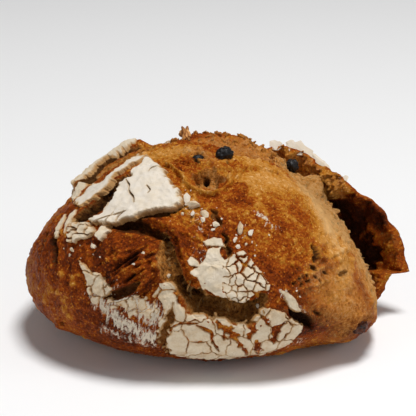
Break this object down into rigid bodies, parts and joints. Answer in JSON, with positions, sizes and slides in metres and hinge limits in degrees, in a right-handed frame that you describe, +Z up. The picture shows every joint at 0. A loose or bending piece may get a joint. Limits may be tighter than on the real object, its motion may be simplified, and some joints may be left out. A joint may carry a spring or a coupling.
{
  "type": "raisin walnut bread loaf",
  "caption": "Oval hearth-baked bread loaf with a floury cracked top, a torn shoulder whose crust stands off as a lip, and raisins and walnut showing at the crust.",
  "frame": {"origin": "on the flat base, under the heart of the loaf", "axes": "+Z up, +X along the length towards the torn shoulder, -Y towards the floury front"},
  "size_m": [0.2325, 0.1793, 0.1176],
  "materials": {
    "crust": "baked crust, matte, dusted with flour",
    "raisin": "wrinkled, slightly glossy",
    "walnut": "toasted, matte"
  },
  "bodies": {
    "root": {"loaf": "crust", "raisin_crown": "raisin", "raisin_shoulder": "raisin", "raisin_hollow": "raisin", "raisin_heel": "raisin", "raisin_back_left": "raisin", "raisin_back_right": "raisin", "walnut_piece": "walnut"}
  },
  "joints": []
}
